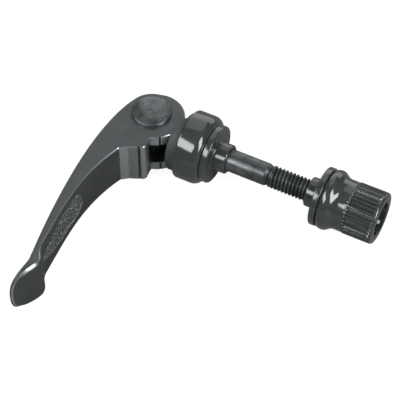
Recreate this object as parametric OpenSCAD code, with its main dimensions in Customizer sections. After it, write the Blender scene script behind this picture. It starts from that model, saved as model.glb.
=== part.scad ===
// Seatpost quick release bolt. A cam lever bears on a cupped seat and pulls a threaded rod,
// and two stepped washers close the ears of a seat tube between the lever and a ribbed thumb nut.
// Origin: on the rod's axis, in the clamp face of the lever-side washer. +X runs along the rod
// towards the nut, +Z runs along the lever's pivot, and the lever's arm hangs towards -Y.

/* [Clamp washers] */
// Distance between the two clamp faces, as the nut stands
clamp_gap = 28.9; // [24:0.1:36]
// Outside diameter of the washers' flanges
washer_d = 15.5; // [13:0.1:17]
// Thickness of the washers' flanges
washer_t = 1.7; // [1:0.1:2.4]
// Rounding of the flange edge on the clamp side
washer_edge_r = 0.35; // [0.2:0.05:0.9]
// Diameter of the washers' centring spigots
spigot_d = 7.8; // [7:0.1:9]
// Length of the lever-side spigot
lever_spigot_len = 3.6; // [2.5:0.1:5]
// Length of the nut-side spigot
nut_spigot_len = 3; // [2:0.1:4.5]
// Chamfer on the spigots' free ends
spigot_chamfer = 0.4; // [0.1:0.05:0.8]

/* [Rod] */
// Diameter of the rod's shank and of its thread crests
rod_d = 5.9; // [5.3:0.1:6.3]
// Depth of the thread
thread_depth = 0.5; // [0.3:0.05:0.7]
// Length of plain shank beyond the lever-side clamp face
shank_len = 14.1; // [11:0.1:16]
// Length of the taper between shank and thread
run_out_len = 1.2; // [0.8:0.1:2.5]
// How far the rod's tip reaches past the nut-side clamp face
rod_reach = 8.25; // [6:0.25:10]
// Chamfer on the rod's tip
rod_tip_chamfer = 0.6; // [0.2:0.05:1]

/* [Pivot barrel] */
// Diameter of the cross barrel that the lever turns on
barrel_d = 10.2; // [9:0.1:11]
// How far the barrel's rim stands proud of each lever face
barrel_stand = 1; // [0.6:0.05:1.6]
// Rounding of the barrel's rim
barrel_edge_r = 0.3; // [0.1:0.05:0.5]
// Height of the low dome on each end of the barrel
barrel_dome = 0.7; // [0.3:0.05:1.2]

/* [Lever head] */
// Width of the lever along the pivot
lever_w = 13; // [12:0.1:15]
// Radius of the cam that bears on the seat
cam_r = 7.5; // [7.2:0.05:8]
// Offset of the cam's centre from the pivot, towards the seat
cam_throw = 1.4; // [1:0.05:1.8]
// Offset of the cam's centre from the pivot, towards the arm
cam_drop = 0.2; // [0:0.05:0.5]
// Radius of the back of the head, about the pivot
head_back_r = 6.95; // [6.7:0.05:7.2]
// Depth of the fork slot below the pivot
fork_floor = 8.3; // [8:0.1:9]
// Width of the witness grooves across the cams and the lip
witness_w = 0.5; // [0.3:0.05:0.8]

/* [Lever web] */
// Reach of the web's lip in front of the pivot
lip_reach = 3.85; // [3.2:0.05:4.4]
// Distance of the lip's nose below the pivot
lip_drop = 10.3; // [10:0.1:11]
// Radius of the lip's nose
lip_r = 1.25; // [0.9:0.05:1.5]
// Distance of the web's foot below the pivot
web_foot = 13.9; // [13.2:0.1:15]
// Width of the web's first facet, beside the foot
web_facet = 2.2; // [1.6:0.1:2.6]

/* [Lever arm] */
// Distance from the pivot to the tip of the thumb pad
lever_len = 62.6; // [58:0.2:70]
// Distance from the pivot down to the arm's neck
neck_drop = 48.6; // [44:0.2:50]
// Distance of the arm's back behind the pivot, at the shoulder
shoulder_back = 8.5; // [8:0.1:9.5]
// Distance of the arm's back behind the pivot, at the thumb pad
pad_back = 4.3; // [3.5:0.1:6]
// Thickness of the arm where it leaves the web
arm_root_t = 7.1; // [6:0.1:8]
// Thickness of the arm at the neck
arm_neck_t = 1.55; // [1.3:0.05:2.4]
// Thickness of the thumb pad at its crown
pad_t = 2.9; // [2.4:0.1:3.8]
// Thickness of the thumb pad at its tip
tip_t = 1; // [0.8:0.05:2]
// How far the pad's tip curls backwards
tip_curl = 1.1; // [0:0.05:1.5]
// How far the thumb pad stands out beyond the arm on each side
pad_spread = 0.3; // [0:0.05:1]
// Length of the pad's rounded end
pad_round = 6.9; // [6.5:0.1:8.5]
// Squareness of the pad's end, 2 for an ellipse
pad_square = 2.6; // [2:0.1:3]

/* [Lever channel] */
// Distance from the pivot down to the top of the channel
channel_top = 27.8; // [24:0.1:30]
// Distance from the pivot down to the channel's point
channel_end = 50; // [46:0.5:52]
// Width of the channel
channel_w = 8.4; // [7:0.1:10]
// Depth of the channel
channel_depth = 0.5; // [0.3:0.05:0.7]

/* [Cam seat and cup] */
// Outside diameter of the cup
cup_d = 18.5; // [17.8:0.1:20]
// Length of the cup
cup_len = 7; // [6:0.1:9]
// Rounding of the cup's rim
cup_rim_r = 0.6; // [0.2:0.05:0.7]
// Rounding of the cup's shoulder, beside the washer
cup_shoulder_r = 2.3; // [1:0.1:2.5]
// Thickness of the cup's floor
cup_floor = 2; // [1.2:0.1:3]
// Thickness of the cup's wall round the seat
cup_wall = 1.2; // [0.8:0.05:2]
// How far the bottom of the seat's groove stands out of the cup
seat_stand = 1.35; // [1:0.05:1.8]
// How far the seat's horn stands out of the cup, on the arm's side
horn_stand = 2.6; // [2:0.1:3]
// How far the seat's low side stands out of the cup
land_stand = 0.8; // [0.5:0.05:0.95]

/* [Thumb nut] */
// Overall length of the thumb nut
nut_len = 15; // [14.5:0.1:18]
// Largest diameter of the nut's bell
bell_d = 15.9; // [15:0.1:17]
// Length of the bell, from the washer to the neck
bell_len = 4.9; // [4:0.1:6]
// Diameter of the neck
neck_d = 13.4; // [12.6:0.1:13.4]
// Diameter over the ribs
grip_d = 13.7; // [13.5:0.1:15]
// Length of the smooth neck, between bell and ribs
neck_len = 2.3; // [1.5:0.1:3]
// Number of ribs
rib_count = 40; // [30:1:48]
// Radius of the grooves between the ribs
rib_groove_r = 0.32; // [0.2:0.02:0.4]
// Depth of the grooves between the ribs
rib_groove_depth = 0.3; // [0.15:0.05:0.4]
// Length of the smooth rim beyond the ribs
rib_stop = 0.7; // [0.5:0.1:2]
// Rounding of the nut's end
nut_end_r = 0.6; // [0.2:0.1:0.7]
// Diameter of the recess in the nut's end
recess_d = 8.8; // [7.5:0.1:10]
// Depth of the recess in the nut's end
recess_depth = 0.8; // [0.4:0.1:1.5]
// Thickness of the closed end behind the recess
nut_floor = 1.2; // [0.8:0.1:2]
// Width across the flats of the threaded insert
insert_af = 8.4; // [8:0.1:9]
// Length of the threaded insert
insert_len = 7; // [5:0.1:9]

/* [Clearances] */
// Gap between pieces that turn face to face on the rod
stack_gap = 0.06; // [0.03:0.01:0.1]
// Radial clearance of the washers, cup and seat on the rod
slide_clear = 0.08; // [0.05:0.01:0.1]
// Radial clearance of the thread in the nut's insert
thread_clear = 0.05; // [0.03:0.01:0.08]
// Radial clearance of the barrel in the lever
pivot_clear = 0.05; // [0.03:0.01:0.1]
// Radial clearance of the seat in the cup, and of the insert in the nut
seat_clear = 0.02; // [0.01:0.01:0.05]
// Clearance on each side of the rod in the fork slot
fork_clear = 0.45; // [0.3:0.05:0.7]
// Clearance between the closed cam and the seat
cam_clear = 0.05; // [0.03:0.01:0.08]
// How much wider than the cam the seat's groove is cut
groove_ease = 0.25; // [0.2:0.01:0.35]

/* [Hidden] */
$fn = 96;
rod_r = rod_d / 2;
root_r = rod_r - thread_depth;
bore_r = rod_r + slide_clear;
barrel_r = barrel_d / 2;
seat_d = cup_d - 2 * (cup_wall + seat_clear);
fork_w = rod_d + 2 * fork_clear;
pad_w = lever_w + 2 * pad_spread;
cup_right = -washer_t - stack_gap;
cup_left = cup_right - cup_len;
seat_floor_x = cup_left - seat_stand;
cam_x = seat_floor_x - cam_clear - cam_r;
pivot_x = cam_x - cam_throw;
pocket_floor_x = cup_right - cup_floor;
nut_left = clamp_gap + washer_t + stack_gap;
nut_right = nut_left + nut_len;
nut_bore_end = nut_right - recess_depth - nut_floor;
nut_bore_clear = 0.3;
grip_left = nut_left + bell_len + neck_len;
rod_tip_x = clamp_gap + rod_reach;
rim_z = lever_w / 2 + barrel_stand;
cut = 0.5;

// Points along an arc, from angle a0 to a1
function arc(cx, cy, r, a0, a1, steps) =
    [for (i = [0:steps]) let (a = a0 + (a1 - a0) * i / steps) [cx + r * cos(a), cy + r * sin(a)]];
// Points along a cubic curve with four control points
function curve(p, steps) =
    [for (i = [0:steps]) let (t = i / steps, s = 1 - t)
        s * s * s * p[0] + 3 * s * s * t * p[1] + 3 * s * t * t * p[2] + t * t * t * p[3]];
// The same points, last one first
function reversed(p) = [for (i = [len(p) - 1:-1:0]) p[i]];
// Points moved by v
function moved(p, v) = [for (q = p) q + v];

// A solid turned about the rod's axis, from points given as [distance along X, radius]
module turned(profile) {
    rotate([0, 90, 0]) rotate_extrude() polygon([for (p = profile) [p[1], p[0]]]);
}
// A plate in the lever's plane, centred on its width
module slab(width) {
    linear_extrude(width, center = true) children();
}
// An outline drawn as [Y, Z] and carried along X
module along_x(length) {
    rotate([90, 0, 90]) linear_extrude(length, center = true) children();
}
// A round bar along X
module bar(x0, x1, r) {
    translate([x0, 0, 0]) rotate([0, 90, 0]) cylinder(r = r, h = x1 - x0);
}

// Side view of the arm, with the pivot at [0, 0]
shoulder_a = 140;
shoulder_drop = 7;
crown_drop = lever_len - 8.3;
shoulder_start = head_back_r * [cos(shoulder_a), sin(shoulder_a)];
shoulder_end = [-shoulder_back, -shoulder_drop];
back_end = [-pad_back, -crown_drop];
tip_back = [-pad_back - tip_curl, -lever_len];
tip_front = tip_back + [tip_t, 0];
crown = [-pad_back + pad_t, -crown_drop];
neck_back = pad_back + 1.15;
neck_front = [-neck_back + arm_neck_t, -neck_drop];
foot = [-shoulder_back - 0.5 + arm_root_t, -web_foot - 0.3];
shoulder_curve = curve([shoulder_start,
                        shoulder_start + 2.4 * [cos(shoulder_a + 90), sin(shoulder_a + 90)],
                        shoulder_end + [0.35, 4],
                        shoulder_end], 8);
back_curve = curve([shoulder_end,
                    shoulder_end + [-1.6, -13],
                    back_end + [-3, 14],
                    back_end], 22);
pad_back_curve = curve([back_end, back_end + [0, -3], tip_back + [0.5, 3], tip_back], 6);
pad_front_curve = curve([tip_front, tip_front + [0.6, 3], crown + [-0.3, -2.2], crown], 8);
pad_neck_curve = curve([crown, crown + [0, 2.6], neck_front + [0.25, -2.6], neck_front], 8);
inner_curve = curve([neck_front,
                     neck_front + [-1.05, 12.4],
                     foot + [-4.5, -11.8],
                     foot], 20);
lip_centre = [lip_reach - lip_r, -lip_drop];
lip_start_a = -75;
web_facet_a = 38;
web_knee = foot + web_facet * [cos(web_facet_a), sin(web_facet_a)];
lip_curve = arc(lip_centre[0], lip_centre[1], lip_r, lip_start_a, 15, 8);
web_front = [lip_reach - 0.3, -fork_floor];
arm_outline = concat(shoulder_curve, back_curve, pad_back_curve, pad_front_curve, pad_neck_curve,
                     inner_curve, [web_knee], lip_curve, [web_front, [web_front[0], -4], [0, 0]]);

// Outline of the channel as [Y, Z], round at the top and drawn to a point at the neck
channel_half = concat(
    curve([[-channel_top, 0], [-channel_top, 0.7 * channel_w / 2],
           [-channel_top - 1.3, channel_w / 2], [-channel_top - 4.5, channel_w / 2]], 8),
    curve([[-channel_end + 10, channel_w / 2 - 0.1], [-channel_end + 5, channel_w / 2 - 0.4],
           [-channel_end + 2, 1.5], [-channel_end, 0]], 10));
channel_outline = concat(channel_half, reversed([for (p = channel_half) [p[0], -p[1]]]));
// Outline of the lever as [Y, Z], straight-sided, with a wider pad and a rounded end
pad_steps = 32;
pad_flare = 4.5;
pad_wide_y = -lever_len + pad_round;
pad_end = [for (i = [0:pad_steps]) let (a = 180 * i / pad_steps, n = 2 / pad_square)
    [pad_wide_y - pad_round * pow(sin(a), n), pad_w / 2 * sign(cos(a)) * pow(abs(cos(a)), n)]];
pad_side = curve([[pad_wide_y, -pad_w / 2], [pad_wide_y + pad_flare / 2, -pad_w / 2],
                  [pad_wide_y + pad_flare / 2, -lever_w / 2], [pad_wide_y + pad_flare, -lever_w / 2]], 8);
plan_outline = concat(pad_end, pad_side,
                      [[2 * head_back_r, -lever_w / 2], [2 * head_back_r, lever_w / 2]],
                      reversed([for (p = pad_side) [p[0], -p[1]]]));
channel_band = concat(moved(concat(pad_neck_curve, inner_curve), [-channel_depth, 0]),
                      reversed(moved(concat(pad_neck_curve, inner_curve), [cut + 2, 0])));

arm_reach = 60;
cam_mark_a = -55;
lip_mark_x = 2.5;
slot_reach = 20;
slot_rise = 30;

// Forged lever: arm, web with its lip, and two cam cheeks either side of the fork slot
module lever() {
    color("#45484a") translate([pivot_x, 0, 0]) difference() {
        intersection() {
            union() {
                slab(pad_w) polygon(arm_outline);
                translate([cam_throw, -cam_drop, 0]) cylinder(r = cam_r, h = lever_w, center = true);
                cylinder(r = head_back_r, h = lever_w, center = true);
            }
            along_x(arm_reach) polygon(plan_outline);
        }
        cylinder(r = barrel_r + pivot_clear, h = lever_w + 2 * cut, center = true);
        translate([-slot_reach, -fork_floor, -fork_w / 2]) cube([2 * slot_reach, slot_rise, fork_w]);
        intersection() {
            slab(lever_w) polygon(channel_band);
            along_x(arm_reach) polygon(channel_outline);
        }
        translate([cam_throw + cam_r * cos(cam_mark_a), -cam_drop + cam_r * sin(cam_mark_a), 0])
            cylinder(d = witness_w, h = lever_w + 2 * cut, center = true);
        translate([lip_mark_x, lip_centre[1] - lip_r, 0])
            cylinder(d = witness_w, h = lever_w + 2 * cut, center = true);
    }
}

// Cross barrel with a rounded rim and a low dome at each end, bored across for the rod
module pivot_barrel() {
    dome_r = (pow(barrel_r - barrel_edge_r, 2) + barrel_dome * barrel_dome) / (2 * barrel_dome);
    dome_a = asin((barrel_r - barrel_edge_r) / dome_r);
    edge = arc(barrel_r - barrel_edge_r, rim_z - barrel_edge_r, barrel_edge_r, 0, 90, 5);
    dome = arc(0, rim_z + barrel_dome - dome_r, dome_r, 90 - dome_a, 90, 8);
    half = concat(edge, dome);
    color("#3a3d40") translate([pivot_x, 0, 0]) difference() {
        rotate_extrude() polygon(concat(half, reversed([for (p = half) [p[0], -p[1]]])));
        bar(-barrel_r - cut, barrel_r + cut, rod_r + seat_clear);
    }
}

// Rod: plain shank from the barrel, a taper, and the threaded length up to the tip
module rod() {
    tail_x = pivot_x - barrel_r + 0.5;
    color("#2c2e30") turned([
        [tail_x, 0], [tail_x, rod_r - 0.4], [tail_x + 0.4, rod_r],
        [shank_len, rod_r], [shank_len + run_out_len, root_r],
        [shank_len + run_out_len + thread_depth / 2, rod_r],
        [rod_tip_x - rod_tip_chamfer, rod_r], [rod_tip_x, rod_r - rod_tip_chamfer], [rod_tip_x, 0]
    ]);
}

// Cam seat: a plug with a groove for the cams, a horn on the arm's side and a low land opposite
module cam_seat() {
    horn_x = cup_left - horn_stand;
    land_x = cup_left - land_stand;
    groove_r = cam_r + groove_ease;
    land_y = 0.8;
    seat_edge = 0.4;
    color("#3c3d3e") difference() {
        turned([[pocket_floor_x, bore_r], [pocket_floor_x, seat_d / 2], [horn_x + seat_edge, seat_d / 2],
                [horn_x, seat_d / 2 - seat_edge], [horn_x, bore_r]]);
        translate([seat_floor_x - groove_r, -cam_drop - 0.8 * groove_ease, 0])
            cylinder(r = groove_r, h = seat_d + 2 * cut, center = true);
        slab(seat_d + 2 * cut) polygon([
            [seat_floor_x - 0.2, land_y], [land_x, land_y + 0.9], [land_x, seat_d / 2 + cut],
            [horn_x - cut, seat_d / 2 + cut], [horn_x - cut, land_y]
        ]);
    }
}

// Cup that holds the seat, open towards the lever
module housing_cup() {
    cup_r = cup_d / 2;
    pocket_r = seat_d / 2 + seat_clear;
    rim = arc(cup_left + cup_rim_r, cup_r - cup_rim_r, cup_rim_r, 180, 90, 5);
    shoulder = arc(cup_right - cup_shoulder_r, cup_r - cup_shoulder_r, cup_shoulder_r, 90, 0, 8);
    color("#1b1c1e") turned(concat(
        [[pocket_floor_x, bore_r], [pocket_floor_x, pocket_r], [cup_left, pocket_r]],
        rim, shoulder, [[cup_right, bore_r]]
    ));
}

// One stepped washer with its clamp face at X = 0 and its spigot towards +X
module stepped_washer(spigot_len) {
    flange_r = washer_d / 2;
    back_edge = 0.2;
    edge = arc(-washer_edge_r, flange_r - washer_edge_r, washer_edge_r, 90, 0, 5);
    turned(concat(
        [[-washer_t, bore_r], [-washer_t, flange_r - back_edge], [-washer_t + back_edge, flange_r]],
        edge,
        [[0, spigot_d / 2], [spigot_len - spigot_chamfer, spigot_d / 2],
         [spigot_len, spigot_d / 2 - spigot_chamfer], [spigot_len, bore_r]]
    ));
}

// Washer under the cup
module lever_side_washer() {
    color("#242527") stepped_washer(lever_spigot_len);
}

// Washer under the nut, facing the other way
module nut_side_washer() {
    color("#242527") translate([clamp_gap, 0, 0]) mirror([1, 0, 0]) stepped_washer(nut_spigot_len);
}

// Hexagonal prism along X, for the insert and its pocket
module hex_bar(x0, x1, across_flats) {
    translate([x0, 0, 0]) rotate([0, 90, 0])
        cylinder(r = across_flats / 2 / cos(30), h = x1 - x0, $fn = 6);
}

// Moulded thumb nut: bell, smooth neck, straight-ribbed grip and a recessed end
module thumb_nut() {
    bell_r = bell_d / 2;
    neck_r = neck_d / 2;
    grip_r = grip_d / 2;
    bell_curve = concat(
        curve([[nut_left, bell_r - 0.8], [nut_left + 0.3, bell_r - 0.25],
               [nut_left + 0.9, bell_r], [nut_left + 1.6, bell_r]], 6),
        curve([[nut_left + 1.6, bell_r], [nut_left + 3.2, bell_r],
               [nut_left + bell_len - 1.9, neck_r], [nut_left + bell_len, neck_r]], 8));
    end_curve = arc(nut_right - nut_end_r, grip_r - nut_end_r, nut_end_r, 90, 0, 6);
    color("#1e1f21") difference() {
        turned(concat(
            [[nut_left, 0]], bell_curve,
            [[grip_left - 0.4, neck_r], [grip_left, grip_r]], end_curve,
            [[nut_right, recess_d / 2], [nut_right - recess_depth, recess_d / 2 - 0.2],
             [nut_right - recess_depth, 0]]
        ));
        hex_bar(nut_left - cut, nut_left + insert_len + seat_clear, insert_af + 2 * seat_clear);
        bar(nut_left, nut_bore_end, rod_r + nut_bore_clear);
        for (i = [0:rib_count - 1])
            rotate([i * 360 / rib_count, 0, 0])
                translate([0, grip_r + rib_groove_r - rib_groove_depth, 0])
                    bar(grip_left - cut, nut_right - rib_stop, rib_groove_r);
    }
}

// Threaded metal insert in the nut
module nut_insert() {
    color("#6e7072") difference() {
        hex_bar(nut_left, nut_left + insert_len, insert_af);
        bar(nut_left - cut, nut_left + insert_len + cut, rod_r + thread_clear);
    }
}

lever();
pivot_barrel();
rod();
cam_seat();
housing_cup();
lever_side_washer();
nut_side_washer();
thumb_nut();
nut_insert();
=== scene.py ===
import math

import bmesh
import bpy
from bpy.props import FloatProperty, FloatVectorProperty, IntProperty, PointerProperty
from bpy.types import Operator, Panel, PropertyGroup
from mathutils import Matrix, Vector, noise


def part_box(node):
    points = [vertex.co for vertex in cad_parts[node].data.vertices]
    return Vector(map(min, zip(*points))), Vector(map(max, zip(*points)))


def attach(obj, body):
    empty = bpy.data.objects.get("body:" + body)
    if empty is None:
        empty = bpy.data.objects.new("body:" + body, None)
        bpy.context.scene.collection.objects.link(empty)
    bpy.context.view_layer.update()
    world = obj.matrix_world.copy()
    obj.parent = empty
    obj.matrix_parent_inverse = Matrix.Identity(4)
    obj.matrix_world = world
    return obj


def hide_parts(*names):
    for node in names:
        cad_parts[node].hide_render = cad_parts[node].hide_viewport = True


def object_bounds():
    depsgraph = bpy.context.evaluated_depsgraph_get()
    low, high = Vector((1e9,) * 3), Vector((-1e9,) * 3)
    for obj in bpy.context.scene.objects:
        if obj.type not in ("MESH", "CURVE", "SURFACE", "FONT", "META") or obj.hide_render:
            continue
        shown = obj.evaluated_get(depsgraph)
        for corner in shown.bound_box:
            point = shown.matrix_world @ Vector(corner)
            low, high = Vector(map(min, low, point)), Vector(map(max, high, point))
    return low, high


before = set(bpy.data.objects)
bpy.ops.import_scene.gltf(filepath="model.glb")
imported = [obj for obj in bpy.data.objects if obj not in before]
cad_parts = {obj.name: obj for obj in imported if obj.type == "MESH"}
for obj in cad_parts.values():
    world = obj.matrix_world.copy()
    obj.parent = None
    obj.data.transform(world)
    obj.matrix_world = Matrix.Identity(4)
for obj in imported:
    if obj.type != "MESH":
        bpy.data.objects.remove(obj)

bl_info = {
    "name": "Seatpost quick release bolt",
    "version": (1, 0, 0),
    "blender": (4, 5, 0),
    "location": "View3D > Sidebar > Quick release",
    "description": "Dresses the packed quick release bolt with its finished pieces, materials and studio",
    "category": "Object",
}

CAD_LOW, CAD_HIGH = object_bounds()
MM = 0.001


def span(node):
    """Lowest and highest corner of a CAD node, in millimetres."""
    low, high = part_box(node)
    return low / MM, high / MM


LEVER_LOW, LEVER_HIGH = span("lever")
BARREL_LOW, BARREL_HIGH = span("pivot_barrel")
ROD_LOW, ROD_HIGH = span("rod")
SEAT_LOW, SEAT_HIGH = span("cam_seat")
CUP_LOW, CUP_HIGH = span("housing_cup")
WASHER_LOW, WASHER_HIGH = span("lever_side_washer")
NUT_WASHER_LOW, NUT_WASHER_HIGH = span("nut_side_washer")
NUT_LOW, NUT_HIGH = span("thumb_nut")
PIVOT_X = (BARREL_LOW.x + BARREL_HIGH.x) / 2
BARREL_R = (BARREL_HIGH.x - BARREL_LOW.x) / 2
ROD_R = ROD_HIGH.y
SLIDING_FIT = 0.08
BORE_R = ROD_R + SLIDING_FIT
# How far a cutter reaches past what it cuts
REACH = 20.0


def linear(text):
    """Linear RGBA of an sRGB hex colour."""
    channels = [int(text[i:i + 2], 16) / 255 for i in (1, 3, 5)]
    return tuple(c / 12.92 if c <= 0.04045 else ((c + 0.055) / 1.055) ** 2.4 for c in channels) + (1.0,)


def length(name, default_mm, description):
    """A length property with its default in millimetres."""
    return FloatProperty(name=name, description=description, default=default_mm * MM, min=0.0,
                         unit="LENGTH", precision=5)


def colour(name, text, description):
    """A colour property from an sRGB hex value."""
    return FloatVectorProperty(name=name, description=description, default=linear(text), size=4,
                               min=0.0, max=1.0, subtype="COLOR")


class QRLeverSettings(PropertyGroup):
    """Sizes and colour of the lever."""
    edge: length("Edge rounding", 0.45, "Rounding of the forging's long edges")
    channel_depth: length("Channel depth", 0.5, "Depth of the channel in the arm's inner face")
    cast_height: length("Cast grain height", 0.14, "Height of the rough cast floor of the channel")
    paint: colour("Lever", "#6b6f70", "Colour of the satin anodised forging")


class QRThreadSettings(PropertyGroup):
    """Sizes and colour of the rod and its thread."""
    pitch: length("Pitch", 1.0, "Pitch of the M6 thread")
    depth: length("Thread depth", 0.5, "Depth of the thread from crest to root")
    steel: colour("Rod", "#6f7475", "Colour of the black oxide steel")


class QRNutSettings(PropertyGroup):
    """Sizes and colour of the thumb nut."""
    rib_count: IntProperty(name="Ribs", description="Number of ribs round the grip", default=40, min=3)
    rib_depth: length("Rib depth", 0.42, "Depth of the grooves between the ribs")
    gloss: colour("Gloss black", "#3e4344", "Colour of the glossy black cup and nut")


class QRStageSettings(PropertyGroup):
    """The studio."""
    key_power: FloatProperty(name="Key light", description="Power of the key light", default=1.0,
                             min=0.0, unit="POWER")
    backdrop: colour("Backdrop", "#ffffff", "Colour of the backdrop")


def mesh_object(name, bm):
    """An object from a bmesh drawn in millimetres, scaled to metres, normals outwards."""
    bmesh.ops.recalc_face_normals(bm, faces=bm.faces)
    bmesh.ops.scale(bm, vec=(MM, MM, MM), verts=bm.verts)
    mesh = bpy.data.meshes.new(name)
    bm.to_mesh(mesh)
    bm.free()
    obj = bpy.data.objects.new(name, mesh)
    bpy.context.scene.collection.objects.link(obj)
    return obj


def shade(obj, angle):
    """Smooth shading with edges sharper than an angle left crisp."""
    obj.data.shade_smooth()
    obj.data.set_sharp_from_angle(angle=math.radians(angle))


def round_corners(points, steps=6):
    """A profile with arcs: each point is (a, b) or (a, b, radius)."""
    out = []
    count = len(points)
    for i, point in enumerate(points):
        here = Vector(point[:2])
        radius = point[2] if len(point) > 2 else 0.0
        if radius <= 0:
            out.append(here)
            continue
        before = (Vector(points[i - 1][:2]) - here).normalized()
        after = (Vector(points[(i + 1) % count][:2]) - here).normalized()
        half = math.acos(max(-1.0, min(1.0, before.dot(after)))) / 2
        reach = radius / math.tan(half)
        centre = here + (before + after).normalized() * (radius / math.sin(half))
        start, end = here + before * reach, here + after * reach
        a0 = math.atan2(start.y - centre.y, start.x - centre.x)
        a1 = math.atan2(end.y - centre.y, end.x - centre.x)
        turn = (a1 - a0 + math.pi) % (2 * math.pi) - math.pi
        for s in range(steps + 1):
            a = a0 + turn * s / steps
            out.append(centre + radius * Vector((math.cos(a), math.sin(a))))
    return out


def lathe(bm, profile, segments, axis="X", centre=(0.0, 0.0)):
    """Turns a closed profile of (distance along the axis, radius) about X, or about Z at a centre."""
    rings = []
    for i in range(segments):
        a = 2 * math.pi * i / segments
        ca, sa = math.cos(a), math.sin(a)
        if axis == "X":
            ring = [bm.verts.new((p[0], p[1] * ca, p[1] * sa)) for p in profile]
        else:
            ring = [bm.verts.new((centre[0] + p[1] * ca, centre[1] + p[1] * sa, p[0])) for p in profile]
        rings.append(ring)
    count = len(profile)
    for i in range(segments):
        a, b = rings[i], rings[(i + 1) % segments]
        for j in range(count):
            k = (j + 1) % count
            if profile[j][1] < 1e-9 and profile[k][1] < 1e-9:
                continue
            bm.faces.new((a[j], a[k], b[k], b[j]))
    bmesh.ops.remove_doubles(bm, verts=bm.verts, dist=1e-5)
    bmesh.ops.dissolve_degenerate(bm, dist=1e-6, edges=bm.edges)


def boolean(obj, cutter):
    """Cuts another object out of this one, exactly, and removes it."""
    modifier = obj.modifiers.new("cut", "BOOLEAN")
    modifier.object = cutter
    modifier.operation = "DIFFERENCE"
    modifier.solver = "EXACT"
    bake(obj)
    mesh = cutter.data
    bpy.data.objects.remove(cutter)
    bpy.data.meshes.remove(mesh)


def bake(obj):
    """Replaces an object's mesh by its evaluated mesh and removes its modifiers."""
    graph = bpy.context.evaluated_depsgraph_get()
    graph.update()
    mesh = bpy.data.meshes.new_from_object(obj.evaluated_get(graph), depsgraph=graph)
    old = obj.data
    obj.modifiers.clear()
    obj.data = mesh
    if old.users == 0:
        bpy.data.meshes.remove(old)


def bar_cutter(x0, x1, radius):
    """A bar along X."""
    bm = bmesh.new()
    lathe(bm, [(x0, 0.0), (x0, radius), (x1, radius), (x1, 0.0)], 96)
    return mesh_object("cutter", bm)


def post_cutter(cx, cy, radius, half, segments=160):
    """A post along Z."""
    bm = bmesh.new()
    lathe(bm, [(-half, 0.0), (-half, radius), (half, radius), (half, 0.0)], segments, "Z", (cx, cy))
    return mesh_object("cutter", bm)


def box_cutter(low, high):
    """A box between two corners."""
    bm = bmesh.new()
    bmesh.ops.create_cube(bm, size=1.0)
    size = [h - l for l, h in zip(low, high)]
    bmesh.ops.scale(bm, vec=size, verts=bm.verts)
    bmesh.ops.translate(bm, vec=[(l + h) / 2 for l, h in zip(low, high)], verts=bm.verts)
    return mesh_object("cutter", bm)


def prism_cutter(low, high):
    """A prism between two rings of corners."""
    bm = bmesh.new()
    low, high = ([bm.verts.new(corner) for corner in ring] for ring in (low, high))
    bm.faces.new(low)
    bm.faces.new(high[::-1])
    for i in range(len(low)):
        k = (i + 1) % len(low)
        bm.faces.new((low[i], high[i], high[k], low[k]))
    return mesh_object("cutter", bm)


def finish_piece(obj, material, body, slot, *nodes):
    """Gives a piece its material and its body, and hides the CAD nodes it stands for. Its slot is not used."""
    obj.data.materials.clear()
    obj.data.materials.append(material)
    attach(obj, body)
    if nodes:
        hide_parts(*nodes)


def add_node(tree, kind, settings=None, inputs=None):
    """Adds a node. Settings are its attributes; inputs are values, sockets, or nodes for their first output."""
    node = tree.nodes.new(kind)
    for key, value in (settings or {}).items():
        setattr(node, key, value)
    for key, value in (inputs or {}).items():
        if isinstance(value, bpy.types.Node):
            value = value.outputs[0]
        if isinstance(value, bpy.types.NodeSocket):
            tree.links.new(value, node.inputs[key])
        else:
            node.inputs[key].default_value = value
    return node


def new_material(name):
    """A node material, its empty tree and its Object coordinates."""
    material = bpy.data.materials.new(name)
    material.use_nodes = True
    tree = material.node_tree
    tree.nodes.clear()
    return material, tree, add_node(tree, "ShaderNodeTexCoord").outputs["Object"]


def features(size_mm):
    """The Scale of a texture whose features are about a size across."""
    return 1 / (size_mm * MM)


def toned(rgba, factor):
    """A colour scaled in linear light."""
    return tuple(min(1.0, c * factor) for c in rgba[:3]) + (1.0,)


def blend_colours(tree, pattern, low, high, colour_low, colour_high):
    """Blends from one colour to another as a pattern goes from one level to another."""
    share = add_node(tree, "ShaderNodeMapRange", inputs={"Value": pattern, "From Min": low, "From Max": high})
    return add_node(tree, "ShaderNodeMix", {"data_type": "RGBA"}, {
        0: share, 6: colour_low, 7: colour_high}).outputs[2]


def radial_parts(tree, position):
    """The axes of a position, its part across the X axis and how long that part is."""
    axes = add_node(tree, "ShaderNodeSeparateXYZ", inputs={"Vector": position}).outputs
    across = add_node(tree, "ShaderNodeCombineXYZ", inputs={"Y": axes["Y"], "Z": axes["Z"]})
    radius = add_node(tree, "ShaderNodeVectorMath", {"operation": "LENGTH"}, {0: across}).outputs["Value"]
    return axes, across, radius


# Share of its colour that the bottom of a groove keeps
GROOVE_SHADE = 0.38


def groove_shade(tree, coords, colour_in, low_mm, high_mm):
    """Darkens a colour in grooves round the X axis: shaded up to one radius, full from another outwards."""
    radius = radial_parts(tree, coords)[2]
    share = add_node(tree, "ShaderNodeMapRange", inputs={
        "Value": radius, "From Min": low_mm * MM, "From Max": high_mm * MM, "To Min": GROOVE_SHADE})
    return add_node(tree, "ShaderNodeVectorMath", {"operation": "SCALE"}, {0: colour_in, "Scale": share})


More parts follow.
